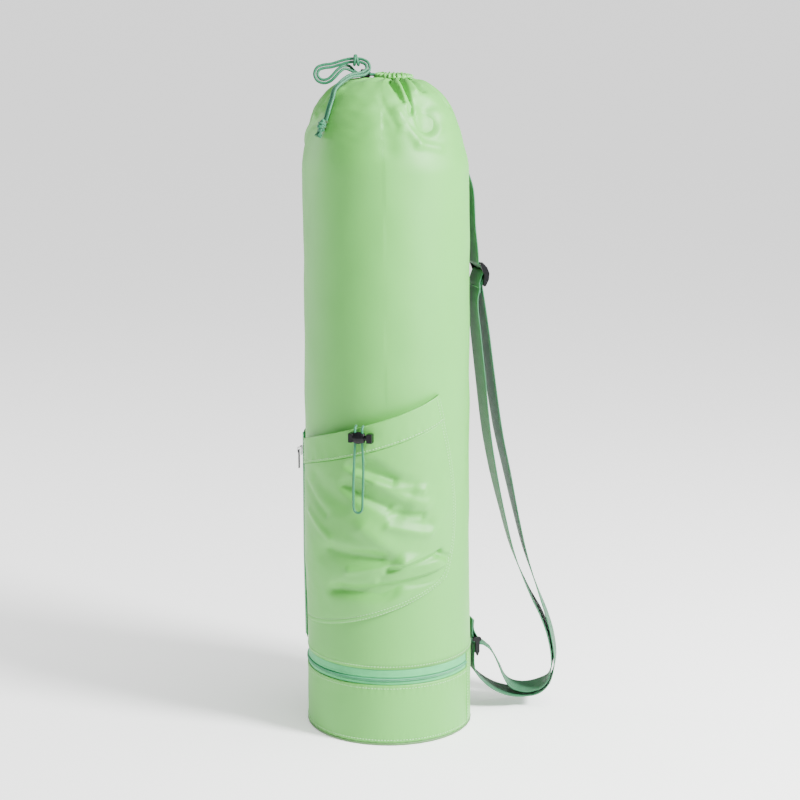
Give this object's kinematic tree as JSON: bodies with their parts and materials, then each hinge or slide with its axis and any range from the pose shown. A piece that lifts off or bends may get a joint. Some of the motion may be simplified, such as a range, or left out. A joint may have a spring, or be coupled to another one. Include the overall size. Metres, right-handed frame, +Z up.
{
  "type": "drawstring yoga mat bag",
  "caption": "Tall round cloth bag for a rolled mat, with a gathered drawcord neck, a zipped base compartment, a patch pocket and a shoulder strap.",
  "frame": {"origin": "centre of the flat underside of the base, on the floor", "axes": "+Z up along the bag, -Y is the front with the pocket, +X is the side where the strap hangs"},
  "size_m": [0.3075, 0.2125, 0.7704],
  "materials": {
    "nylon": "soft sheen, fine plain weave",
    "zip": "woven tape and coil",
    "cord": "braided cord",
    "webbing": "ribbed webbing",
    "black_plastic": "satin",
    "steel": "satin"
  },
  "bodies": {
    "bag": {"body_shell": "nylon", "neck_hem": "nylon", "base_wall": "nylon", "hinge_panel": "nylon", "base_panel": "nylon", "base_seam": "nylon", "pocket_panel": "nylon", "pocket_hem": "nylon", "base_zip_tape_upper": "zip", "base_zip_tape_lower": "zip", "base_zip_coil": "zip", "side_zip_tape": "zip", "side_zip_coil": "zip", "neck_cord": "cord", "pocket_elastic": "cord", "drawcord_a": "cord", "drawcord_b": "cord", "bow_knot": "cord", "end_knot": "cord", "strap_webbing": "webbing", "lower_tab": "webbing", "pocket_lock_body": "black_plastic", "neck_lock_body": "black_plastic", "strap_slider": "black_plastic", "lower_buckle": "black_plastic", "base_zip_slider": "black_plastic", "side_zip_slider": "steel"},
    "pocket_lock_button": {"pocket_lock_button": "black_plastic"},
    "neck_lock_button": {"neck_lock_button": "black_plastic"},
    "side_zip_pull": {"side_zip_pull": "black_plastic"}
  },
  "joints": [
    {"name": "pocket_lock_press", "type": "slide", "parent": "bag", "child": "pocket_lock_button", "axis": [-0.9622, 0.2723, 0], "range_m": [0, 0.0025], "stiffness_N_per_m": 200},
    {"name": "neck_lock_press", "type": "slide", "parent": "bag", "child": "neck_lock_button", "axis": [0, -1, 0], "range_m": [0, 0.0025], "stiffness_N_per_m": 200},
    {"name": "side_zip_pull_swing", "type": "hinge", "parent": "bag", "child": "side_zip_pull", "pos_m": [-0.10363, 0.00532, 0.321], "axis": [0.0523, 0.9986, 0], "range_deg": [0, 165]}
  ]
}
